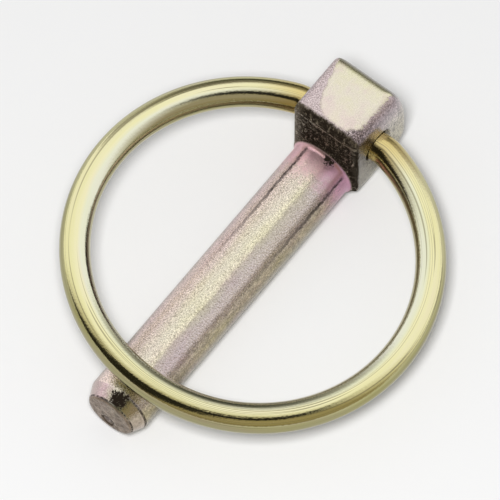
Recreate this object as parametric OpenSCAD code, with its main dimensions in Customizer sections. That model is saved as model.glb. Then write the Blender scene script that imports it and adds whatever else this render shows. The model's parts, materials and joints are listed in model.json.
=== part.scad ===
// Linch pin: a forged pin with an offset block head, and a sprung wire ring.
// The ring swings in a skewed cross hole through the head and closes over the tip.
// The pin lies on its back along X, with its tip at +X and the ring's side at +Z.
// The origin is on the shank's axis, where the full-diameter shank begins.

/* [Shank] */
// Diameter of the straight shank
shank_d = 10; // [9:0.5:10.5]
// Radius of the fillet between the shank and the head's shoulder
fillet_r = 0.6; // [0.4:0.1:0.7]
// Radius that the lead under the closed ring loses along its length
lead_drop = 0.05; // [0.03:0.01:0.1]
// Length of lead that shows past the closed ring on either side
lead_margin = 0.5; // [0.4:0.1:1.5]
// Length of the cone at the tip
tip_len = 2.3; // [1.5:0.1:3]
// Diameter of the flat end face
tip_d = 7.8; // [7:0.1:8.4]

/* [Head] */
// Width of the head across the pin
head_w = 11.6; // [11.4:0.1:13]
// Height of the head's crown above its shoulder
head_h = 13.4; // [12.6:0.1:14.4]
// Distance from the shank's axis to the head's front face
head_front = 13.6; // [12.6:0.1:15]
// Radius of the crown along the head's top
crown_r = 26; // [22:1:40]
// Radius of the corner between the top and the back
top_back_r = 6.3; // [5.5:0.1:7]
// Radius of the corner between the back and the shoulder
heel_r = 4; // [3:0.1:4.5]
// Radius of the edges round the front face, at the top and at the shoulder
brow_r = 1.6; // [1:0.1:2]
// Radius of the long edges between the front and the sides
cheek_r = 2.2; // [1:0.1:2.6]
// Radius of the long edges between the back and the sides
back_edge_r = 3; // [2:0.1:3.4]
// Radius of the edges between the top and the sides
top_edge_r = 2; // [1:0.1:2.6]
// Radius of the edges between the shoulder and the sides
shoulder_edge_r = 0.5; // [0.3:0.1:0.8]

/* [Cross hole] */
// Height of the hole's middle above the shoulder
hole_up = 4.85; // [4.6:0.05:5.6]
// Distance from the shank's axis to the hole's middle, towards the front
hole_front = 5.75; // [5.5:0.05:6.3]
// Step between the hole's two mouths along the pin
step_along = 1.1; // [0.4:0.1:1.3]
// Step between the hole's two mouths in height
step_height = 1; // [0.4:0.1:1.2]
// Room between the ring's wire and the hole, all round
hole_room = 0.3; // [0.2:0.05:0.4]
// Depth of the worn bevel round each mouth
mouth_depth = 0.6; // [0.3:0.1:0.8]

/* [Ring] */
// Inside diameter of the ring
ring_id = 48; // [46:1:54]
// Diameter of the spring wire
wire_d = 4.6; // [4.2:0.1:4.8]
// Radius of the bends that turn the wire's ends into the hole, at the wire's centre
bend_r = 5; // [4:0.1:6]
// Radius that the wire gains where it is bent
bend_swell = 0.02; // [0.02:0.01:0.05]
// Straight wire between the head's side and the bend
bend_room = 0.8; // [0.7:0.1:1.2]
// Gap between the wire's two ends inside the head
end_gap = 2.4; // [1.6:0.1:4]
// Gap between the closed ring and the shank
rest_gap = 0.12; // [0.1:0.01:0.2]

/* [Hidden] */
$fn = 96;
past = 1;
lap = 0.1;
reach_past = 40;

shank_r = shank_d / 2;
wire_r = wire_d / 2;
hole_d = wire_d + 2 * hole_room;

// The hole runs from the left mouth to the right one: back along the pin, and down.
hole_yaw = atan2(step_along, head_w);
hole_roll = atan2(step_height, norm([head_w, step_along]));
hole_len = norm([head_w, step_along, step_height]);
hinge = [-fillet_r - hole_up, 0, hole_front];

// The ring in its own plane: X towards the tip, Y along the hole.
ring_r = ring_id / 2 + wire_r;
bend_at = hole_len / 2 + bend_room;
ring_mid = bend_r + sqrt(pow(ring_r - bend_r, 2) - pow(bend_at, 2));
bend_angle = atan2(bend_at, ring_mid - bend_r);
bend_d = wire_d + 2 * bend_swell;
lap_angle = lap / ring_r * 180 / PI;

// The closed ring crosses the shank off its own middle, because the hole is skewed.
cross_aside = (ring_mid + ring_r) * tan(hole_yaw);
cross_reach = ring_mid + sqrt(pow(ring_r, 2) - pow(cross_aside, 2));
cross_height = (shank_r + wire_r + rest_gap) / cos(hole_roll);
ring_lift = asin((cross_height - hole_front) / cross_reach - tan(hole_yaw) * sin(hole_roll));

// The shank is as long as the closed ring needs.
cross_x = hinge[0] + cross_reach / cos(hole_yaw);
grip_len = cross_x - wire_r - lead_margin;
lead_len = wire_d + 2 * lead_margin;
lead_d = shank_d - 2 * lead_drop;

// The crown runs smoothly into the corner at the back.
crown_at = top_back_r - shank_r;
crown_mid = head_h - crown_r;
brow_at = head_front - brow_r;
brow_up = crown_mid + sqrt(pow(crown_r - brow_r, 2) - pow(brow_at - crown_at, 2));
brow_end = atan2(brow_up - crown_mid, brow_at - crown_at);

function along(angle, length) = length * [cos(angle), sin(angle)];

// What a corner of an outline loses when it is rounded about the point mid.
module corner_loss(mid, r, from, to) {
    reach = (r + past) / cos((to - from) / 2);
    corner = mid + along((from + to) / 2, reach);
    difference() {
        polygon([mid, mid + along(from, r + past), corner, mid + along(to, r + past)]);
        translate(mid) circle(r);
    }
}

// A rectangle about the Y axis, with its own corner radius at the bottom and at the top.
module rounded_block(width, bottom, top, bottom_r, top_r) {
    difference() {
        translate([-width / 2, bottom]) square([width, top - bottom]);
        corner_loss([width / 2 - top_r, top - top_r], top_r, 0, 90);
        corner_loss([top_r - width / 2, top - top_r], top_r, 90, 180);
        corner_loss([bottom_r - width / 2, bottom + bottom_r], bottom_r, 180, 270);
        corner_loss([width / 2 - bottom_r, bottom + bottom_r], bottom_r, 270, 360);
    }
}

// The head seen from its side: X is height in front of the shank's axis, Y height above the shoulder.
module side_outline() {
    difference() {
        intersection() {
            translate([-shank_r, 0]) square([shank_r + head_front, head_h]);
            translate([crown_at, crown_mid]) circle(crown_r);
        }
        corner_loss([crown_at, head_h - top_back_r], top_back_r, 90, 180);
        corner_loss([heel_r - shank_r, heel_r], heel_r, 180, 270);
        corner_loss([brow_at, brow_r], brow_r, 270, 360);
        corner_loss([brow_at, brow_up], brow_r, 0, brow_end);
    }
}

// The head seen along the pin, drawn out past the shoulder by length.
module end_prism(length) {
    translate([-fillet_r - head_h - past, 0, 0])
        rotate([90, 0, 90])
            linear_extrude(head_h + past + length)
                rounded_block(head_w, -shank_r, head_front, back_edge_r, cheek_r);
}

// The head's block: its three outlines crossed, and the long corner at the back eased.
module head_block() {
    intersection() {
        translate([-fillet_r, 0, 0])
            rotate([90, -90, 0])
                linear_extrude(head_w, center = true) side_outline();
        end_prism(past);
        translate([-fillet_r, 0, -shank_r - past])
            rotate([0, 0, 90])
                linear_extrude(shank_r + head_front + 2 * past)
                    rounded_block(head_w, 0, head_h, shoulder_edge_r, top_edge_r);
        translate([-fillet_r - head_h + top_back_r, 0, crown_at])
            rotate([0, -45, 0])
                rotate([0, 0, 90])
                    linear_extrude(reach_past * 2, center = true)
                        rounded_block(head_w, -reach_past, top_back_r, top_edge_r, top_edge_r);
    }
}

// Round shank, lead and cone, and the root that carries the shank into the head.
module shank() {
    root_len = fillet_r + heel_r + past;
    rotate([0, 90, 0]) {
        translate([0, 0, -root_len]) cylinder(d = shank_d, h = root_len + grip_len);
        translate([0, 0, grip_len]) cylinder(d1 = shank_d, d2 = lead_d, h = lead_len);
        translate([0, 0, grip_len + lead_len]) cylinder(d1 = lead_d, d2 = tip_d, h = tip_len);
    }
    intersection() {
        rotate([0, 90, 0])
            rotate_extrude()
                difference() {
                    translate([0, -root_len]) square([shank_r + fillet_r, root_len]);
                    translate([shank_r + fillet_r, 0]) circle(fillet_r);
                }
        end_prism(past);
    }
}

// Places its children at the cross hole's middle, with Y along the hole.
module at_hinge() {
    translate(hinge) rotate([0, 0, hole_yaw]) rotate([-hole_roll, 0, 0]) children();
}

// The skewed hole, with a worn bevel at each mouth.
module cross_hole() {
    for (side = [-90, 90])
        rotate([side, 0, 0]) {
            cylinder(d = hole_d, h = hole_len / 2 + past);
            translate([0, 0, hole_len / 2 - mouth_depth])
                cylinder(d1 = hole_d, d2 = hole_d + 2 * (mouth_depth + past), h = mouth_depth + past);
        }
}

// A stretch of wire bent round an arc, from one angle to another.
module wire_arc(r, from, to, d) {
    rotate([0, 0, from]) rotate_extrude(angle = to - from) translate([r, 0]) circle(d = d);
}

module pin() {
    color([0.78, 0.74, 0.62])
        difference() {
            union() {
                head_block();
                shank();
            }
            at_hinge() cross_hole();
        }
}

module ring() {
    color([0.80, 0.74, 0.42])
        at_hinge()
            rotate([0, -ring_lift, 0]) {
                hoop_end = 180 - bend_angle + lap_angle;
                translate([ring_mid, 0, 0]) wire_arc(ring_r, -hoop_end, hoop_end, wire_d);
                translate([bend_r, bend_at, 0]) wire_arc(bend_r, 180 - bend_angle, 180, bend_d);
                translate([bend_r, -bend_at, 0]) wire_arc(bend_r, 180, 180 + bend_angle, bend_d);
                for (side = [-90, 90])
                    rotate([side, 0, 0])
                        translate([0, 0, end_gap / 2]) cylinder(d = wire_d, h = bend_at - end_gap / 2 + lap);
            }
}

pin();
ring();
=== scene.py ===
import json
import math

import bmesh
import bpy
from mathutils import Matrix, Vector


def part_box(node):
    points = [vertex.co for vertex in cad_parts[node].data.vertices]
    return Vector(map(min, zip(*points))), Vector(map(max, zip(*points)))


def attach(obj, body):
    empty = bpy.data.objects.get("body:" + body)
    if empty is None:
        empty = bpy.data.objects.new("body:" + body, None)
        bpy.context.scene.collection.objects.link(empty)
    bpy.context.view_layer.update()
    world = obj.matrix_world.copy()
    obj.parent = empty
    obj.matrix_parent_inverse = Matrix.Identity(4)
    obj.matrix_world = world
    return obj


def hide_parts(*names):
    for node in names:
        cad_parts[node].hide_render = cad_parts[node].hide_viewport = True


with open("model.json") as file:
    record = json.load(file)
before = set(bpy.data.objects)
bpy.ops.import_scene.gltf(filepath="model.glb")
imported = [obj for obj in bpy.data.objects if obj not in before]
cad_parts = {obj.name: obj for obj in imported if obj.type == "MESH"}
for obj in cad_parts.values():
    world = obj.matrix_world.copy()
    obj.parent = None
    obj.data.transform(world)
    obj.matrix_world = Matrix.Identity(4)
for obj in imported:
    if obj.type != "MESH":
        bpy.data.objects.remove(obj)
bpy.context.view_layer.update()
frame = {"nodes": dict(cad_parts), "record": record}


# Forged pin
# One piece of steel: a round shank drawn down from a block head, which was hit into its dies hot.
# The head stands forward of the shank and is drilled askew for the ring. The whole piece is
# barrelled, zinc plated and dipped in a yellow passivate, which leaves a grainy, many-coloured film.
mm = 0.001
pin_low, pin_high = (Vector(corner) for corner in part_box("pin"))
shank_r = frame["record"]["mounts"][0]["dims"]["r_mm"] * mm
shank_sides = 160
shoulder_x = -0.6 * mm
fillet_r = 0.6 * mm
tip_len = 2.3 * mm
tip_r = 3.9 * mm
head_h = shoulder_x - pin_low.x
head_half = pin_high.y
head_deep = pin_high.z - pin_low.z
head_mid = Vector((shoulder_x - head_h / 2, 0, (pin_high.z + pin_low.z) / 2))
crown_r = 26 * mm
crown_cuts = 12
top_back_r = 6.3 * mm
heel_r = 4 * mm
brow_r = 1.6 * mm
top_brow_r = 0.9 * mm
left_cheek_r = 1.6 * mm
right_cheek_r = 2.4 * mm
back_edge_r = 3 * mm
left_top_edge_r = 1.2 * mm
right_top_edge_r = 2.0 * mm
shoulder_edge_r = 0.5 * mm
hinge = frame["record"]["behaviour"]["joints"][0]
hole_at = Vector(hinge["pos_m"])
hole_axis = -Vector(hinge["axis"])
hole_sides = 96
hole_room = 0.22 * mm
wire_r = 2.3 * mm
hole_r = wire_r + hole_room
mouth_depth = 0.25 * mm
dent_r = 1.1 * mm
dent_depth = 0.35 * mm
dent_at = Vector((pin_high.x, -0.3 * mm, -2.1 * mm))
forge_voxel = 0.2 * mm

# What counts as the same place, the snap of a cut, how far a block stands past the head on a rounded
# side and on a plain one, and how squarely a face looks along an axis to be picked.
nearly = 0.01 * mm
cut_snap = 0.001 * mm
past = 0.05 * mm
well_past = 4 * mm
square_on = 0.9


def start_piece(name):
    piece = bpy.context.object
    piece.name = name
    piece.data.name = name
    bpy.ops.object.transform_apply(location=True, rotation=True, scale=True)
    return piece


def select_where(piece, kind, wanted):
    mesh = bmesh.from_edit_mesh(piece.data)
    mesh.normal_update()
    bpy.ops.mesh.select_all(action="DESELECT")
    bpy.ops.mesh.select_mode(type=kind)
    for part in mesh.edges if kind == "EDGE" else mesh.faces:
        if wanted(part):
            part.select_set(True)
    bmesh.update_edit_mesh(piece.data)


def apply_modifier(piece, name, kind, **settings):
    modifier = piece.modifiers.new(name, kind)
    for setting, value in settings.items():
        setattr(modifier, setting, value)
    bpy.ops.object.select_all(action="DESELECT")
    piece.select_set(True)
    bpy.context.view_layer.objects.active = piece
    bpy.ops.object.modifier_apply(modifier=modifier.name)


def combine(piece, other, operation):
    apply_modifier(piece, operation.lower(), "BOOLEAN", object=other, operation=operation, solver="EXACT")
    bpy.data.objects.remove(other, do_unlink=True)


def start_block(name, middle, size):
    bpy.ops.mesh.primitive_cube_add(size=1, location=middle, scale=size)
    block = start_piece(name)
    bpy.ops.object.mode_set(mode="EDIT")
    return block


def round_edge(block, radius, steps, **place):
    """Rounds the block's edge that lies at the given place, such as x and z."""
    def on_edge(edge):
        misses = [abs(getattr(vert.co, axis) - at) for vert in edge.verts for axis, at in place.items()]
        return max(misses) < nearly
    select_where(block, "EDGE", on_edge)
    bpy.ops.mesh.bevel(offset=radius, offset_type="OFFSET", segments=steps, profile=0.5, affect="EDGES")


# The crown on a block: it is cut into slices, and each is drawn down to the crown's arc.
crown_z = pin_low.z + top_back_r


def draw_crown(block):
    for cut in range(crown_cuts + 1):
        cut_z = crown_z + (pin_high.z - top_brow_r - crown_z) * cut / crown_cuts
        bpy.ops.mesh.select_all(action="SELECT")
        bpy.ops.mesh.bisect(plane_co=(0, 0, cut_z), plane_no=(0, 0, 1), threshold=cut_snap)
    sliced = bmesh.from_edit_mesh(block.data)
    for vert in sliced.verts:
        ahead = max(vert.co.z - crown_z, 0)
        sag = crown_r - math.sqrt(crown_r ** 2 - ahead ** 2)
        vert.co.x += sag * (shoulder_x - vert.co.x) / head_h
    bmesh.update_edit_mesh(block.data)
    bpy.ops.object.mode_set(mode="OBJECT")


# The head is four blocks crossed into one, each with the edges of one direction rounded. The first
# has the edges that run across the pin.
bpy.ops.object.select_all(action="DESELECT")
forged_pin = start_block("forged_pin", head_mid, (head_h, 2 * head_half + well_past, head_deep))
round_edge(forged_pin, top_back_r, steps=12, x=pin_low.x, z=pin_low.z)
round_edge(forged_pin, heel_r, steps=8, x=shoulder_x, z=pin_low.z)
round_edge(forged_pin, brow_r, steps=6, x=shoulder_x, z=pin_high.z)
round_edge(forged_pin, top_brow_r, steps=6, x=pin_low.x, z=pin_high.z)
draw_crown(forged_pin)

# The long edges, along the pin.
long_block = start_block("long_block", head_mid, (head_h + well_past, 2 * head_half, head_deep + 2 * past))
for side, cheek_r in ((-1, left_cheek_r), (1, right_cheek_r)):
    round_edge(long_block, cheek_r, steps=8, y=side * head_half, z=pin_high.z + past)
    round_edge(long_block, back_edge_r, steps=8, y=side * head_half, z=pin_low.z - past)
bpy.ops.object.mode_set(mode="OBJECT")
combine(forged_pin, long_block, "INTERSECT")

# The edges from front to back, which follow the crown at the top.
top_edges = ((-1, left_top_edge_r), (1, right_top_edge_r))
deep_block = start_block(
    "deep_block", head_mid, (head_h + 2 * past, 2 * (head_half + past), head_deep + well_past))
for side, top_edge_r in top_edges:
    round_edge(deep_block, top_edge_r, steps=8, x=pin_low.x - past, y=side * (head_half + past))
    round_edge(deep_block, shoulder_edge_r, steps=4, x=shoulder_x + past, y=side * (head_half + past))
draw_crown(deep_block)
combine(forged_pin, deep_block, "INTERSECT")

# The long corner at the back, eased along its slope.
ease_size = 80 * mm
ease_slope = math.radians(135)
ease_mid = (top_back_r + past - ease_size / 2, 0, 0)
ease_block = start_block("ease_block", ease_mid, (ease_size, 2 * (head_half + 2 * past), ease_size))
for side, top_edge_r in top_edges:
    round_edge(ease_block, top_edge_r, steps=8, x=top_back_r + past, y=side * (head_half + 2 * past))
bpy.ops.object.mode_set(mode="OBJECT")
ease_at = Vector((pin_low.x + top_back_r, 0, crown_z))
ease_block.matrix_world = Matrix.Translation(ease_at) @ Matrix.Rotation(ease_slope, 4, "Y")
bpy.ops.object.transform_apply(location=True, rotation=True, scale=True)
combine(forged_pin, ease_block, "INTERSECT")

# Hammered hot, the head has no crease left where its rounded edges meet.
apply_modifier(forged_pin, "hammer", "REMESH", mode="VOXEL", voxel_size=forge_voxel, use_smooth_shade=True)
apply_modifier(forged_pin, "soften", "SMOOTH", factor=0.5, iterations=24)

# The shank, with its cone drawn out of the far end.
root_x = shoulder_x - heel_r
bpy.ops.mesh.primitive_cylinder_add(
    vertices=shank_sides,
    radius=shank_r,
    depth=pin_high.x - tip_len - root_x,
    location=((pin_high.x - tip_len + root_x) / 2, 0, 0),
    rotation=(0, math.pi / 2, 0),
)
shank = start_piece("shank")
bpy.ops.object.mode_set(mode="EDIT")
select_where(shank, "FACE", lambda face: face.normal.x > square_on)
bpy.ops.mesh.extrude_region_move(TRANSFORM_OT_translate={"value": (tip_len, 0, 0)})
bpy.ops.transform.resize(value=(1, tip_r / shank_r, tip_r / shank_r))
bpy.ops.object.mode_set(mode="OBJECT")

# The fillet under the head, trimmed flush with the pin's back.
bpy.ops.mesh.primitive_cone_add(
    vertices=shank_sides,
    radius1=shank_r + fillet_r,
    radius2=shank_r,
    depth=fillet_r,
    location=(shoulder_x + fillet_r / 2, 0, 0),
    rotation=(0, math.pi / 2, 0),
)
fillet = start_piece("fillet")
bpy.ops.object.mode_set(mode="EDIT")
bpy.ops.mesh.select_mode(type="FACE")
bpy.ops.mesh.select_all(action="SELECT")
bpy.ops.mesh.bisect(
    plane_co=(0, 0, pin_low.z), plane_no=(0, 0, -1), threshold=cut_snap, use_fill=True, clear_outer=True)
bpy.ops.object.mode_set(mode="OBJECT")

# The cross hole, drilled askew, with a worn bevel at each mouth.
hole_half = head_half / hole_axis.y
mouth_past = 3 * mouth_depth
mouth_flare = (hole_r + mouth_past) / hole_r
bpy.ops.mesh.primitive_cylinder_add(
    vertices=hole_sides, radius=hole_r, depth=2 * (hole_half - mouth_depth))
drill = start_piece("drill")
bpy.ops.object.mode_set(mode="EDIT")
for side in (-1, 1):
    select_where(drill, "FACE", lambda face: face.normal.z * side > square_on)
    bpy.ops.mesh.extrude_region_move(TRANSFORM_OT_translate={"value": (0, 0, side * mouth_past)})
    bpy.ops.transform.resize(value=(mouth_flare, mouth_flare, 1))
bpy.ops.object.mode_set(mode="OBJECT")
drill.matrix_world = Matrix.Translation(hole_at) @ hole_axis.to_track_quat("Z", "Y").to_matrix().to_4x4()
bpy.ops.object.transform_apply(location=True, rotation=True, scale=True)

# The dent that the shear tore in the end face.
dent_ball_r = (dent_r ** 2 + dent_depth ** 2) / (2 * dent_depth)
bpy.ops.mesh.primitive_ico_sphere_add(
    subdivisions=4, radius=dent_ball_r, location=dent_at + Vector((dent_ball_r - dent_depth, 0, 0)))
dent = start_piece("dent")

combine(forged_pin, shank, "UNION")
combine(forged_pin, fillet, "UNION")
combine(forged_pin, drill, "DIFFERENCE")
combine(forged_pin, dent, "DIFFERENCE")

# The scale and the barrelling leave no sharp edge, and the hammered faces are never quite flat.
apply_modifier(forged_pin, "forge", "REMESH", mode="VOXEL", voxel_size=forge_voxel, use_smooth_shade=True)
apply_modifier(forged_pin, "barrel", "SMOOTH", factor=0.5, iterations=6)
bpy.ops.object.shade_smooth()


def put(tree, kind, sockets, **settings):
    """A node with its settings and sockets filled: a socket as value is linked, anything else is set."""
    node = tree.nodes.new("ShaderNode" + kind)
    for setting, value in settings.items():
        setattr(node, setting, value)
    for name, value in sockets.items():
        if isinstance(value, bpy.types.NodeSocket):
            tree.links.new(value, node.inputs[name])
        else:
            node.inputs[name].default_value = value
    return node


def calc(tree, operation, first, second=0.0, third=0.0):
    return put(tree, "Math", {0: first, 1: second, 2: third}, operation=operation).outputs["Value"]


def both(tree, *masks):
    together = masks[0]
    for mask in masks[1:]:
        together = calc(tree, "MULTIPLY", together, mask)
    return together


def either(tree, *masks):
    together = masks[0]
    for mask in masks[1:]:
        together = calc(tree, "MAXIMUM", together, mask)
    return together


def apart(tree, value, place):
    return calc(tree, "ABSOLUTE", calc(tree, "ADD", value, -place))


def soft_step(tree, value, low, high):
    """A mask that begins where the value is at low and is full where it is at high."""
    sockets = {"Value": value, "From Min": low, "From Max": high}
    return put(tree, "MapRange", sockets, interpolation_type="SMOOTHSTEP").outputs["Result"]


def spread(tree, value, low, high):
    return put(tree, "MapRange", {"Value": value, "To Min": low, "To Max": high}).outputs["Result"]


def vector_calc(tree, operation, first, second=(0, 0, 0), third=(0, 0, 0)):
    return put(tree, "VectorMath", {0: first, 1: second, 2: third}, operation=operation).outputs


def stretch(tree, vector, factors):
    return vector_calc(tree, "MULTIPLY", vector, factors)["Vector"]


def turn_about(tree, sideways, upwards):
    """The angle about an axis as a share of a turn, with 0.5 upwards."""
    angle = calc(tree, "ARCTAN2", sideways, upwards)
    return calc(tree, "MULTIPLY_ADD", angle, 1 / (2 * math.pi), 0.5)


def noise(tree, vector, scale, detail=2.0, roughness=0.5):
    sockets = {"Vector": vector, "Scale": scale, "Detail": detail, "Roughness": roughness}
    return put(tree, "TexNoise", sockets).outputs["Fac"]


def stray(tree, value, cloud, reach, middle=0.5):
    """The value, pushed up where a noise is over its middle and down where it is under."""
    return calc(tree, "MULTIPLY_ADD", calc(tree, "ADD", cloud, -middle), reach, value)


# A Mix node has sockets for each kind of value: these are its mask, its two colours and its result.
mix_mask, mix_under, mix_over, mix_result = 0, 6, 7, 2


def coat(tree, mask, under, over, amount=1.0, blend="MIX"):
    if amount < 1:
        mask = both(tree, mask, amount)
    sockets = {mix_mask: mask, mix_under: under, mix_over: over}
    return put(tree, "Mix", sockets, data_type="RGBA", blend_type=blend).outputs[mix_result]


def set_ramp(ramp, stops):
    while len(ramp.elements) > 1:
        ramp.elements.remove(ramp.elements[-1])
    ramp.elements[0].position = stops[0][0]
    ramp.elements[0].color = (*stops[0][1], 1)
    for place, colour in stops[1:]:
        ramp.elements.new(place).color = (*colour, 1)


def start_group(name, inputs, outputs):
    group = bpy.data.node_groups.new(name, "ShaderNodeTree")
    for label, kind in inputs:
        group.interface.new_socket(label, in_out="INPUT", socket_type="NodeSocket" + kind)
    for label, kind in outputs:
        group.interface.new_socket(label, in_out="OUTPUT", socket_type="NodeSocket" + kind)
    return group, group.nodes.new("NodeGroupInput").outputs, group.nodes.new("NodeGroupOutput").inputs


def place_group(tree, group, sockets):
    return put(tree, "Group", sockets, node_tree=group).outputs


def start_finish(piece, name):
    finish = bpy.data.materials.new(name)
    finish.use_nodes = True
    piece.data.materials.clear()
    piece.data.materials.append(finish)
    return finish.node_tree, finish.node_tree.nodes["Principled BSDF"]


# Passivate film: a thin layer whose colour drifts between straw, green, pink and grey.
film, film_in, film_out = start_group(
    "passivate_film",
    [("Vector", "Vector"), ("Patch Scale", "Float"), ("Drift", "Float")],
    [("Color", "Color")],
)
film_patch = noise(film, film_in["Vector"], film_in["Patch Scale"], detail=5, roughness=0.62)
film_ramp = put(film, "ValToRGB", {"Fac": calc(film, "ADD", film_patch, film_in["Drift"])})
set_ramp(film_ramp.color_ramp, [
    (0.22, (0.50, 0.47, 0.17)),
    (0.36, (0.60, 0.56, 0.27)),
    (0.48, (0.66, 0.62, 0.42)),
    (0.58, (0.66, 0.58, 0.48)),
    (0.70, (0.62, 0.45, 0.46)),
    (0.85, (0.42, 0.36, 0.38)),
])
film.links.new(film_ramp.outputs["Color"], film_out["Color"])

# Plated grain: the fine crystals of the zinc, as a height and as dark pits.
pit_level = (0.44, 0.30)
grain, grain_in, grain_out = start_group(
    "plated_grain",
    [("Vector", "Vector"), ("Grain Scale", "Float")],
    [("Height", "Float"), ("Pits", "Float")],
)
crystals = noise(grain, grain_in["Vector"], grain_in["Grain Scale"], detail=2, roughness=0.6)
pits = soft_step(grain, crystals, *pit_level)
grain.links.new(crystals, grain_out["Height"])
grain.links.new(pits, grain_out["Pits"])

# The pin's own coordinates, in millimetres, and the noises that its finish is made of. In what follows
# a pair of numbers says where a mask begins and where it is full: along an axis, as a share of a turn
# about the shank, or in the level of a noise.
finish, shader = start_finish(forged_pin, "satin_passivated_zinc")
where = put(finish, "TexCoord", {}).outputs["Object"]
in_mm = stretch(finish, where, (1 / mm, 1 / mm, 1 / mm))
x_mm, y_mm, z_mm = put(finish, "SeparateXYZ", {"Vector": in_mm}).outputs
from_axis = vector_calc(finish, "LENGTH", stretch(finish, in_mm, (0, 1, 1)))["Value"]
wander = noise(finish, in_mm, scale=0.9, detail=4, roughness=0.65)
sway = spread(finish, wander, -1, 1)
fine = noise(finish, in_mm, scale=5.0, detail=2, roughness=0.65)
scatter = noise(finish, stretch(finish, in_mm, (0.6, 1, 1)), scale=2.0, detail=3, roughness=0.7)
speck = place_group(finish, grain, {"Vector": in_mm, "Grain Scale": 4.4})


def swayed(value, reach):
    return calc(finish, "MULTIPLY_ADD", sway, reach, value)


# Stripes along the shank, by the turn about it: the film's pink, cream, mauve on a flatter side, and brown
# below, with painted light in them, the paler bands partly a painted highlight and the darker bands partly
# painted shade.
stripe_cover = 0.78
film_draw = (0.35, 1, 1)
turn = swayed(turn_about(finish, y_mm, z_mm), reach=0.016)
film_and_painted_light_stripes = put(finish, "ValToRGB", {"Fac": turn})
set_ramp(film_and_painted_light_stripes.color_ramp, [
    (0.000, (0.46, 0.42, 0.34)),
    (0.240, (0.46, 0.41, 0.38)),
    (0.325, (0.40, 0.33, 0.32)),
    (0.365, (0.76, 0.60, 0.59)),
    (0.405, (0.76, 0.60, 0.58)),
    (0.440, (0.67, 0.55, 0.53)),
    (0.465, (0.56, 0.49, 0.42)),
    (0.500, (0.59, 0.55, 0.45)),
    (0.541, (0.60, 0.56, 0.42)),
    (0.553, (0.40, 0.36, 0.31)),
    (0.583, (0.47, 0.42, 0.42)),
    (0.618, (0.60, 0.53, 0.58)),
    (0.640, (0.34, 0.27, 0.27)),
    (0.670, (0.43, 0.36, 0.28)),
    (0.700, (0.32, 0.26, 0.16)),
    (0.755, (0.20, 0.17, 0.13)),
    (0.840, (0.44, 0.40, 0.32)),
    (1.000, (0.46, 0.42, 0.34)),
])
skin = place_group(finish, film, {
    "Vector": stretch(finish, in_mm, film_draw), "Patch Scale": 0.25, "Drift": 0.05})["Color"]
skin = coat(finish, stripe_cover, skin, film_and_painted_light_stripes.outputs["Color"])

# The head is mauve at its edges and grey-green behind, and darker on its right cheek and low down.
mauve = (0.47, 0.39, 0.41, 1)
grey_green = (0.47, 0.44, 0.35, 1)
dim_mauve = (0.34, 0.27, 0.29, 1)
sooty = (0.06, 0.045, 0.045, 1)
head_x = (-0.6, -1.0)
behind_z = (11.0, 5.0)
right_y, right_z = (3.6, 4.8), (8.0, 10.5)
low_x, low_y, low_grain = (-7.6, -2.4), (1.8, 3.8), (0.66, 0.40)
head = soft_step(finish, x_mm, *head_x)
behind_head = soft_step(finish, swayed(z_mm, reach=3.0), *behind_z)
skin = coat(finish, head, skin, coat(finish, behind_head, mauve, grey_green), amount=0.80)
right_cheek = both(finish, head, soft_step(finish, y_mm, *right_y), soft_step(finish, z_mm, *right_z))
skin = coat(finish, right_cheek, skin, dim_mauve, amount=0.55)
low_cheek = both(
    finish, head,
    soft_step(finish, swayed(x_mm, reach=3.0), *low_x),
    soft_step(finish, y_mm, *low_y),
    soft_step(finish, fine, *low_grain))
skin = coat(finish, low_cheek, skin, sooty, amount=0.90)

# The front of the head, where the die struck it flat, is painted paler: the film's cream, straw at the top
# and rosy below, and a painted reflection of its smoother face. It has a slanting left edge, round lower
# corners and an uneven rim, under a brow darkened with painted shade.
cream = (0.60, 0.57, 0.47, 1)
pale_straw = (0.60, 0.61, 0.36, 1)
rosy_cream = (0.62, 0.53, 0.48, 1)
painted_shade_bronze = (0.16, 0.14, 0.12, 1)
front_left, front_slant = -2.2, 0.26
front_right = 4.7
front_low = -1.75
upper_corner, lower_corner = 1.0, 4.5
rim_edge = (0.15, -0.15)
front_z = (12.2, 12.9)
straw_x = (-7.5, -11.5)
rosy_x = (-6.5, -2.5)
film_cover = 0.30
brow_slant = -0.35
brow_x, brow_z = (-15.3, -15.6), (10.0, 12.0)
left_of_front = calc(finish, "MULTIPLY_ADD", x_mm, front_slant, front_left)
left_of_front = calc(finish, "SUBTRACT", left_of_front, y_mm)
right_of_front = calc(finish, "ADD", y_mm, -front_right)
below_front = calc(finish, "ADD", x_mm, -front_low)
front_rim = calc(finish, "SMOOTH_MAX", left_of_front, right_of_front, upper_corner)
front_rim = calc(finish, "SMOOTH_MAX", front_rim, below_front, lower_corner)
front_rim = stray(finish, swayed(front_rim, reach=0.5), fine, reach=1.3)
front = both(finish, soft_step(finish, front_rim, *rim_edge), soft_step(finish, z_mm, *front_z))
straw = soft_step(finish, swayed(x_mm, reach=2.2), *straw_x)
rosy = soft_step(finish, swayed(x_mm, reach=3.0), *rosy_x)
front_film = place_group(finish, film, {"Vector": in_mm, "Patch Scale": 0.42, "Drift": 0.07})["Color"]
pale_film_and_painted_reflection = coat(finish, straw, cream, pale_straw)
pale_film_and_painted_reflection = coat(finish, rosy, pale_film_and_painted_reflection, rosy_cream, amount=0.6)
pale_film_and_painted_reflection = coat(finish, film_cover, pale_film_and_painted_reflection, front_film)
skin = coat(finish, front, skin, pale_film_and_painted_reflection, amount=0.86)
# Painted shade: the head's brow is darkened with a dark bronze.
past_brow = calc(finish, "MULTIPLY_ADD", z_mm, brow_slant, x_mm)
brow_painted_shade = both(finish, soft_step(finish, past_brow, *brow_x), soft_step(finish, z_mm, *brow_z))
skin = coat(finish, brow_painted_shade, skin, painted_shade_bronze, amount=0.8)

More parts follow.
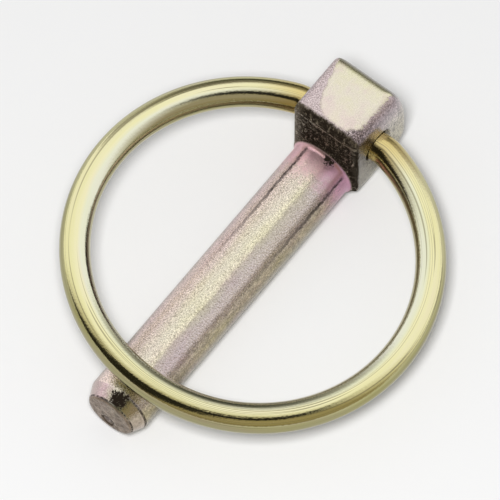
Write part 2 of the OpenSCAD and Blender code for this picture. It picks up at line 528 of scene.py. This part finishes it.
# The root of the shank is pink, running to magenta on the right.
root_pink = (0.80, 0.46, 0.53, 1)
root_magenta = (0.62, 0.31, 0.49, 1)
pink_x = (6.5, 0.5)
under_head_x = (-0.7, -0.4)
magenta_turn = (0.53, 0.60)
root = both(
    finish, soft_step(finish, swayed(x_mm, reach=3.0), *pink_x), soft_step(finish, x_mm, *under_head_x))
root_film = coat(finish, soft_step(finish, turn, *magenta_turn), root_pink, root_magenta)
skin = coat(finish, root, skin, root_film, amount=0.75)

# The cone is pink and mauve on one side, and olive towards the other.
tip_mm = pin_high.x / mm
cone_mm = tip_mm - tip_len / mm
cone_soft = 0.1
cone = soft_step(finish, x_mm, cone_mm - cone_soft, cone_mm + cone_soft)
cone_film = put(finish, "ValToRGB", {"Fac": swayed(turn, reach=0.05)})
set_ramp(cone_film.color_ramp, [
    (0.34, (0.50, 0.40, 0.38)),
    (0.43, (0.40, 0.27, 0.31)),
    (0.50, (0.58, 0.55, 0.46)),
    (0.57, (0.36, 0.35, 0.16)),
    (0.68, (0.44, 0.36, 0.30)),
])
skin = coat(finish, cone, skin, cone_film.outputs["Color"], amount=0.7)

# Matt black marks, gathered from here on: forging scale, and painted shade and a painted dark reflection
# in the same black. First come two dark streaks down the shank, each with its turn about the shank and the
# lengths where it has gone and where it is still whole.
scale_and_painted_shade_marks = []
dark_streaks = ((0.418, (28.5, 3.8)), (0.659, (30.0, 4.0)))
streak_edge = (0.015, 0.003)
streak_start_x = (-0.2, 0.6)
streak_thin, streak_thick = 0.1, 1.5
for streak_turn, streak_end_x in dark_streaks:
    off_streak = stray(finish, apart(finish, turn, streak_turn), fine, reach=0.014)
    scale_and_painted_shade_marks.append(both(
        finish,
        soft_step(finish, off_streak, *streak_edge),
        soft_step(finish, x_mm, *streak_end_x),
        spread(finish, scatter, streak_thin, streak_thick),
        soft_step(finish, x_mm, *streak_start_x)))

# A ragged black spot in the fillet, and one on the cone that is a painted dark reflection: for each, its
# turn, its place along the pin, its size.
black_and_painted_reflection_spots = ((0.546, 0.0, 1.0), (0.527, cone_mm + 1.1, 1.7))
spot_out, spot_in, spot_less = 1.8, 1.3, 0.8
spot_scatter, spot_crumble = 4.0, 2.2
spot_start_x = (-0.5, -0.2)
spot_end_x = (tip_mm - 0.25, tip_mm - 0.40)
shank_girth = 2 * math.pi * shank_r / mm
for spot_turn, spot_x, spot_size in black_and_painted_reflection_spots:
    round_off = both(finish, calc(finish, "ADD", turn, -spot_turn), shank_girth)
    along_off = calc(finish, "ADD", x_mm, -spot_x)
    off_spot = both(finish, along_off, along_off)
    off_spot = calc(finish, "MULTIPLY_ADD", round_off, round_off, off_spot)
    off_spot = stray(finish, off_spot, scatter, reach=spot_scatter * spot_size)
    off_spot = stray(finish, off_spot, fine, reach=spot_crumble * spot_size)
    scale_and_painted_shade_marks.append(both(
        finish,
        soft_step(finish, off_spot, spot_out * spot_size - spot_less, spot_in * spot_size - spot_less),
        soft_step(finish, x_mm, *spot_start_x),
        soft_step(finish, x_mm, *spot_end_x)))

# The scale on the shoulder, thinner at its left, where the trimming tool has scratched through it and
# worn its front edge. The steel shows in the scratches.
scratched_steel = (0.30, 0.25, 0.18, 1)
shoulder_edge = (-1.7, -1.3)
off_shank = (5.2, 5.5)
scratch_level = (0.56, 0.66)
worn_z = 11.7
worn_edge, worn_level = (0.26, 0.10), (0.35, 0.55)
thin_y, thin_scale = (-6.0, -3.6), 0.55
scratch_depth = 0.75
at_shoulder = stray(finish, swayed(x_mm, reach=0.5), fine, reach=1.0)
shoulder = both(
    finish, soft_step(finish, at_shoulder, *shoulder_edge), soft_step(finish, from_axis, *off_shank))
scratch_at = vector_calc(finish, "ADD", in_mm, sway)["Vector"]
scratch = either(
    finish,
    noise(finish, stretch(finish, scratch_at, (1.0, 0.14, 2.6)), scale=2.4, detail=3, roughness=0.7),
    noise(finish, stretch(finish, scratch_at, (1.0, 2.0, 0.4)), scale=1.3, detail=3, roughness=0.65))
off_worn = apart(finish, swayed(z_mm, reach=0.5), worn_z)
worn = both(finish, soft_step(finish, off_worn, *worn_edge), soft_step(finish, scatter, *worn_level))
scratched = either(finish, soft_step(finish, scratch, *scratch_level), worn)
whole = calc(finish, "MULTIPLY_ADD", scratched, -scratch_depth, 1.0)
thickness = spread(finish, soft_step(finish, y_mm, *thin_y), thin_scale, 1.0)
scale_and_painted_shade_marks.append(both(finish, shoulder, whole, thickness))

# The sheared end is brown and mottled, with painted shade in and round its dent, and broken dark lines on
# its rim and at the foot of the cone.
sheared_brown = (0.27, 0.20, 0.14, 1)
sheared_x = (tip_mm - 0.25, tip_mm - 0.10)
dent_rim, dent_floor = (1.25, 1.00), (0.40, 0.80)
dent_shade_amount, mottle_scale = 0.85, 0.6
mottle_level = (0.25, 0.75)
rim_mm = tip_mm - 0.30
rim_line, cone_line, line_level = (0.18, 0.06), (0.26, 0.10), (0.30, 0.60)
cone_line_turn = (0.50, 0.56)
sheared = soft_step(finish, x_mm, *sheared_x)
from_dent = swayed(vector_calc(finish, "DISTANCE", in_mm, dent_at / mm)["Value"], reach=0.7)
round_dent = both(
    finish, soft_step(finish, from_dent, *dent_rim), soft_step(finish, from_dent, *dent_floor))
dent_painted_shade = both(finish, round_dent, dent_shade_amount)
mottled = both(finish, soft_step(finish, wander, *mottle_level), mottle_scale)
scale_and_painted_shade_marks.append(both(finish, sheared, either(finish, dent_painted_shade, mottled)))
edge_lines = either(
    finish,
    soft_step(finish, apart(finish, x_mm, rim_mm), *rim_line),
    both(
        finish, soft_step(finish, apart(finish, x_mm, cone_mm), *cone_line),
        soft_step(finish, turn, *cone_line_turn)))
scale_and_painted_shade_marks.append(both(finish, edge_lines, soft_step(finish, scatter, *line_level)))
skin = coat(finish, sheared, skin, sheared_brown, amount=0.9)
skin = coat(finish, shoulder, skin, scratched_steel)

# The bore of the cross hole is painted near-black and matt: painted shade inside the hole.
bore_edge = (hole_r / mm + 0.18, hole_r / mm + 0.05)
bore_painted_shade = 0.85
from_hole = vector_calc(finish, "SUBTRACT", in_mm, hole_at / mm)["Vector"]
from_hole = vector_calc(finish, "CROSS_PRODUCT", from_hole, hole_axis)["Vector"]
from_hole = vector_calc(finish, "LENGTH", from_hole)["Value"]
scale_and_painted_shade_marks.append(both(finish, soft_step(finish, from_hole, *bore_edge), bore_painted_shade))
# The scale mask holds the forging scale and also the painted shade in the bore and dent and the painted
# dark reflection on the cone.
scale = either(finish, *scale_and_painted_shade_marks)

# The zinc's crystals sparkle, least on the struck front and on the shank's flatter side. The flank is
# rougher, and the cheeks have a grain that was drawn out from front to back.
pit_shade = (0.52, 0.47, 0.44, 1)
flat_start_turn, flat_end_turn = (0.54, 0.56), (0.635, 0.615)
flank_turn, flank_x = (0.62, 0.67), (0.0, 3.0)
cheeks_y = (4.6, 5.6)
root_calm, front_calm, cone_calm, flat_calm = 0.8, 0.8, 0.5, 0.40
sparkle_depth, flank_depth, cheeks_depth = 2.4, 1.8, 2.4
pit_cover = 0.6
drawn_middle = 0.52
flatter = both(finish, soft_step(finish, turn, *flat_start_turn), soft_step(finish, turn, *flat_end_turn))
calm = either(
    finish, both(finish, root, root_calm), both(finish, front, front_calm), both(finish, cone, cone_calm))
busy = calc(finish, "SUBTRACT", 1.0, calm)
sparkle = both(finish, busy, calc(finish, "MULTIPLY_ADD", flatter, -flat_calm, 1.0), sparkle_depth)
skin = coat(finish, 1.0, skin, stray(finish, 1.0, fine, sparkle), blend="MULTIPLY")
flank = both(finish, soft_step(finish, turn, *flank_turn), soft_step(finish, x_mm, *flank_x), flank_depth)
skin = coat(finish, 1.0, skin, stray(finish, 1.0, scatter, flank), blend="MULTIPLY")
cheeks = both(finish, head, soft_step(finish, apart(finish, y_mm, 0), *cheeks_y), cheeks_depth)
drawn = noise(finish, stretch(finish, in_mm, (1.0, 1.0, 0.5)), scale=3.2, detail=2, roughness=0.65)
skin = coat(finish, 1.0, skin, stray(finish, 1.0, drawn, cheeks, drawn_middle), blend="MULTIPLY")
skin = coat(finish, both(finish, speck["Pits"], busy, pit_cover), skin, pit_shade, blend="MULTIPLY")

# Where there is scale, and where shade and a dark reflection are painted, the finish is matt black;
# elsewhere it is metal.
scale_and_painted_shade_black = (0.018, 0.013, 0.009, 1)
smooth_gloss, rough_gloss = 0.14, 0.36
cone_gloss, root_gloss = -0.08, 0.12
grain_depth = 0.075 * mm
calm_flattens = 0.9
scratch_rise = 1.5
skin = coat(finish, scale, skin, scale_and_painted_shade_black)
finish.links.new(skin, shader.inputs["Base Color"])
finish.links.new(calc(finish, "SUBTRACT", 1.0, scale), shader.inputs["Metallic"])
shader.inputs["Specular IOR Level"].default_value = 0.0
gloss = spread(finish, speck["Height"], smooth_gloss, rough_gloss)
gloss = calc(finish, "MULTIPLY_ADD", cone, cone_gloss, gloss)
gloss = calc(finish, "MULTIPLY_ADD", root, root_gloss, gloss)
finish.links.new(gloss, shader.inputs["Roughness"])
grain_height = both(finish, speck["Height"], calc(finish, "MULTIPLY_ADD", calm, -calm_flattens, 1.0))
scratch_height = both(finish, scratch, shoulder, scratch_rise)
grain_bump = put(finish, "Bump", {
    "Strength": 1.0, "Distance": grain_depth, "Height": calc(finish, "ADD", grain_height, scratch_height)})
finish.links.new(grain_bump.outputs["Normal"], shader.inputs["Normal"])
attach(forged_pin, "pin")
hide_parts("pin")


# Sprung ring
# A length of drawn spring wire, wound round a mandrel and cut, with its two ends turned inwards.
# The ends are sprung into the head's hole, one from each side. Bright zinc and the same yellow
# passivate leave it glossy, with long reflections that follow the wire.
ring_r = 26.3 * mm
bend_r = 5 * mm
bend_past = 0.8 * mm
bend_at = hole_half + bend_past
ring_mid = bend_r + math.sqrt((ring_r - bend_r) ** 2 - bend_at ** 2)
bend_angle = math.atan2(bend_at, ring_mid - bend_r)
wire_end = 1.2 * mm
wire_sides = 96
hoop_steps = 360
bend_steps = 12
crease_angle = math.radians(40)

# The wire is drawn flat: X is towards the tip, Y along the hole.
bpy.ops.object.select_all(action="DESELECT")
bpy.ops.mesh.primitive_circle_add(
    vertices=wire_sides, radius=wire_r, fill_type="NGON",
    location=(0, -wire_end, 0), rotation=(math.pi / 2, 0, 0))
ring = start_piece("sprung_ring")
bpy.ops.object.mode_set(mode="EDIT")
bpy.ops.mesh.select_mode(type="FACE")
bpy.ops.mesh.select_all(action="SELECT")
bpy.ops.mesh.extrude_region_move(TRANSFORM_OT_translate={"value": (0, wire_end - bend_at, 0)})
for centre, angle, steps in (
    ((bend_r, -bend_at, 0), bend_angle, bend_steps),
    ((ring_mid, 0, 0), 2 * math.pi - 2 * bend_angle, hoop_steps),
    ((bend_r, bend_at, 0), bend_angle, bend_steps),
):
    bpy.ops.mesh.spin(steps=steps, angle=angle, center=centre, axis=(0, 0, -1), use_auto_merge=False)
bpy.ops.mesh.extrude_region_move(TRANSFORM_OT_translate={"value": (0, wire_end - bend_at, 0)})
bpy.ops.mesh.select_all(action="SELECT")
bpy.ops.mesh.remove_doubles(threshold=nearly)
bpy.ops.mesh.normals_make_consistent(inside=False)
bpy.ops.object.mode_set(mode="OBJECT")
bpy.ops.object.shade_smooth_by_angle(angle=crease_angle)

# Each point's place on the straight wire: how far along it is from the middle of the hoop, how far
# out from the wire's centre, and how far up, all in millimetres.
hoop_half = math.pi - bend_angle
bend_start = hoop_half * ring_r
bend_end = bend_start + bend_angle * bend_r


def along_wire(point):
    side = math.copysign(1, point.y)
    turned = math.atan2(abs(point.y), point.x - ring_mid)
    if turned <= hoop_half:
        run = turned * ring_r
        out = math.hypot(point.x - ring_mid, point.y) - ring_r
    elif abs(point.y) >= bend_at:
        turned = math.atan2(abs(point.y) - bend_at, point.x - bend_r)
        run = bend_start + (turned - hoop_half) * bend_r
        out = math.hypot(point.x - bend_r, abs(point.y) - bend_at) - bend_r
    else:
        run = bend_end + bend_at - abs(point.y)
        out = -point.x
    return side * run / mm, out / mm, point.z / mm


wire_run = ring.data.attributes.new("wire_run", "FLOAT_VECTOR", "POINT")
for vert, spot in zip(ring.data.vertices, wire_run.data):
    spot.vector = along_wire(vert.co)

# The drawn ring is laid in the hinge, closed over the shank as the solids have it.
cad_ring = frame["nodes"]["ring"]
ring_heart = sum((v.co for v in cad_ring.data.vertices), Vector()) / len(cad_ring.data.vertices)
to_tip = ring_heart - hole_at
to_tip = (to_tip - hole_axis * to_tip.dot(hole_axis)).normalized()
lay = Matrix((to_tip, hole_axis, to_tip.cross(hole_axis))).transposed().to_4x4()
ring.matrix_world = Matrix.Translation(hole_at) @ lay
bpy.ops.object.transform_apply(location=True, rotation=True, scale=True)

# The wire's skin: each point is put at the wire's radius, so that a pattern runs evenly along it.
finish, shader = start_finish(ring, "bright_passivated_zinc")
shader.inputs["Metallic"].default_value = 1.0
on_wire = put(finish, "Attribute", {}, attribute_name="wire_run").outputs["Vector"]
along, out, up = put(finish, "SeparateXYZ", {"Vector": on_wire}).outputs
round_wire = vector_calc(finish, "NORMALIZE", stretch(finish, on_wire, (0, 1, 1)))["Vector"]
on_wire = vector_calc(
    finish, "MULTIPLY_ADD", round_wire, (wire_r / mm,) * 3, stretch(finish, on_wire, (1, 0, 0)))["Vector"]

# Round the wire's section the colour is painted from olive and dark on the flanks to straw and a greenish
# white on top: the film's tints, with a painted highlight on top and painted shade and a painted floor
# reflection on the flanks. It is a warmer bronze at the bends.
bronze = (0.50, 0.37, 0.11, 1)
bend_mm = bend_end / mm
bronze_run = (bend_mm - 9.0, bend_mm)
streak_cover = 0.25
drift = noise(finish, stretch(finish, on_wire, (0.05, 0, 0)), scale=1.0, detail=2)
section = stray(finish, turn_about(finish, up, out), drift, reach=0.06)
section_film_and_painted_light = put(finish, "ValToRGB", {"Fac": section})
set_ramp(section_film_and_painted_light.color_ramp, [
    (0.00, (0.34, 0.31, 0.13)),
    (0.25, (0.46, 0.42, 0.20)),
    (0.50, (0.22, 0.20, 0.07)),
    (0.58, (0.27, 0.25, 0.08)),
    (0.63, (0.58, 0.55, 0.29)),
    (0.76, (0.64, 0.61, 0.36)),
    (0.80, (0.58, 0.60, 0.47)),
    (0.87, (0.56, 0.57, 0.47)),
    (0.91, (0.38, 0.35, 0.20)),
    (1.00, (0.34, 0.31, 0.13)),
])
film_streaks = place_group(finish, film, {
    "Vector": stretch(finish, on_wire, (0.08, 1, 1)), "Patch Scale": 0.55, "Drift": -0.04})["Color"]
skin = coat(finish, streak_cover, section_film_and_painted_light.outputs["Color"], film_streaks)
bent = soft_step(finish, calc(finish, "ABSOLUTE", along), *bronze_run)
skin = coat(finish, bent, skin, bronze, amount=0.7)

# The drawing die left fine lines along the wire, a few broad ones, and some that have gone dark.
line_olive = (0.20, 0.18, 0.10, 1)
dark_line_at, dark_line_edge = 0.52, (0.016, 0.006)
smooth_gloss, rough_gloss = 0.05, 0.18
line_depth = 0.013 * mm
broad_rise = 3.0
speck_depth = 0.018 * mm
fine_lines = noise(finish, stretch(finish, on_wire, (0.02, 1, 1)), scale=2.6, detail=1, roughness=0.5)
broad_lines = noise(finish, stretch(finish, on_wire, (0.006, 1, 1)), scale=1.3, detail=1)
dark_lines = soft_step(finish, apart(finish, broad_lines, dark_line_at), *dark_line_edge)
skin = coat(finish, dark_lines, skin, line_olive, amount=0.65)
finish.links.new(skin, shader.inputs["Base Color"])
finish.links.new(spread(finish, fine_lines, smooth_gloss, rough_gloss), shader.inputs["Roughness"])
die_lines = calc(finish, "MULTIPLY_ADD", broad_lines, broad_rise, fine_lines)
line_bump = put(finish, "Bump", {"Strength": 1.0, "Distance": line_depth, "Height": die_lines})
speck = place_group(finish, grain, {"Vector": on_wire, "Grain Scale": 3.4})
speck_bump = put(finish, "Bump", {
    "Strength": 1.0,
    "Distance": speck_depth,
    "Height": speck["Height"],
    "Normal": line_bump.outputs["Normal"],
})
finish.links.new(speck_bump.outputs["Normal"], shader.inputs["Normal"])
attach(ring, "ring")
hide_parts("ring")


# Studio
# The pin lies on a plain pale sheet inside a white light tent, under one soft lamp overhead.
# The camera stands far off with a long lens, as in a catalogue picture.
floor_size = 3.0
sheet_white = (0.88, 0.88, 0.88, 1)
bpy.ops.object.select_all(action="DESELECT")
bpy.ops.mesh.primitive_plane_add(size=floor_size, location=(0, 0, pin_low.z - nearly))
floor = start_piece("pale_sheet")
finish, shader = start_finish(floor, "pale_sheet")
shader.inputs["Base Color"].default_value = sheet_white
shader.inputs["Roughness"].default_value = 0.9
shader.inputs["Specular IOR Level"].default_value = 0.0

# The camera, placed by the picture's size in pixels and the pixels to a millimetre.
photo_azimuth = math.radians(127.7)
photo_elevation = math.radians(64.5)
photo_middle = Vector((15.0, -1.73, -5.35)) * mm
photo_pixels = 500
pixels_per_mm = 6.74
photo_width = photo_pixels / pixels_per_mm * mm
camera_far = 1.6
away = Vector((-math.sin(photo_azimuth), math.cos(photo_azimuth), 0))
rightwards = Vector((away.y, -away.x, 0))
look = away * math.cos(photo_elevation) - Vector((0, 0, math.sin(photo_elevation)))
lens = bpy.data.cameras.new("catalogue_lens")
lens.sensor_width = 36
lens.lens = lens.sensor_width * camera_far / photo_width
lens.clip_end = 20
camera = bpy.data.objects.new("catalogue_camera", lens)
camera.location = photo_middle - look * camera_far
camera.rotation_euler = look.to_track_quat("-Z", "Y").to_euler()
bpy.context.collection.objects.link(camera)
bpy.context.scene.camera = camera


def from_camera(right_part, away_part, up_part):
    return (rightwards * right_part + away * away_part + Vector((0, 0, up_part))).normalized()


# The lamp over the sheet is kept out of the metal's reflections, which show the tent.
lamp_far = 0.7
lamp_side = from_camera(-0.05, -0.38, 0.92)
lamp = bpy.data.lights.new("overhead_lamp", "AREA")
lamp.size = 0.14
lamp.energy = 3.6
overhead_lamp = bpy.data.objects.new("overhead_lamp", lamp)
overhead_lamp.location = photo_middle + lamp_side * lamp_far
overhead_lamp.rotation_euler = lamp_side.to_track_quat("Z", "Y").to_euler()
overhead_lamp.visible_glossy = False
bpy.context.collection.objects.link(overhead_lamp)

# The tent is lit as an arch from left to right, dim and warm towards the lens, with a dark slit for
# the lens and a dark opening low down behind. Matt surfaces see it as an even grey.
tent_strength = 1.35
matt_level = 0.36
arch_back = from_camera(0.17, 0.97, 0.16)
slit_dark = (0.02, 0.018, 0.014, 1)
slit_side = from_camera(-0.26, 0.80, 0.54)
slit_run = from_camera(0.76, -0.04, 0.43)
slit_middle = from_camera(-0.49, -0.14, 0.86)
slit_half_width = math.radians(16.5)
slit_half_length = math.radians(60)
slit_side_soft = 0.2
slit_end_soft = 0.12
slit_flare = -0.60
world = bpy.data.worlds.new("light_tent")
bpy.context.scene.world = world
world.use_nodes = True
world.cycles.sampling_method = "NONE"
tent = world.node_tree
sky = put(tent, "TexCoord", {}).outputs["Generated"]


def facing(direction):
    return vector_calc(tent, "DOT_PRODUCT", sky, direction)["Value"]


behind = calc(tent, "MULTIPLY_ADD", facing(arch_back), 0.5, 0.5)
arch = put(tent, "ValToRGB", {"Fac": behind})
set_ramp(arch.color_ramp, [
    (0.30, (0.34, 0.29, 0.19)),
    (0.46, (0.65, 0.62, 0.55)),
    (0.60, (1.00, 1.00, 1.00)),
    (0.87, (1.00, 1.00, 1.00)),
    (0.95, (0.40, 0.38, 0.34)),
    (1.00, (0.05, 0.05, 0.04)),
])
slit_reach = math.sin(slit_half_width)
slit_width = calc(tent, "MULTIPLY_ADD", facing(slit_run), slit_flare, 1.0)
slit_across = calc(tent, "DIVIDE", calc(tent, "ABSOLUTE", facing(slit_side)), slit_width)
slit_sides = soft_step(
    tent, slit_across, slit_reach * (1 + slit_side_soft), slit_reach * (1 - slit_side_soft))
slit_ends = soft_step(
    tent, facing(slit_middle),
    math.cos(slit_half_length * (1 + slit_end_soft)), math.cos(slit_half_length * (1 - slit_end_soft)))
tent_look = coat(tent, both(tent, slit_sides, slit_ends), arch.outputs["Color"], slit_dark)
path = put(tent, "LightPath", {}).outputs
mirrored = either(tent, path["Is Camera Ray"], path["Is Glossy Ray"], path["Is Transmission Ray"])
matt_grey = (matt_level / tent_strength,) * 3 + (1,)
tent_light = tent.nodes["Background"]
tent_light.inputs["Strength"].default_value = tent_strength
tent.links.new(coat(tent, mirrored, matt_grey, tent_look), tent_light.inputs["Color"])
bpy.context.scene.view_settings.view_transform = "Standard"
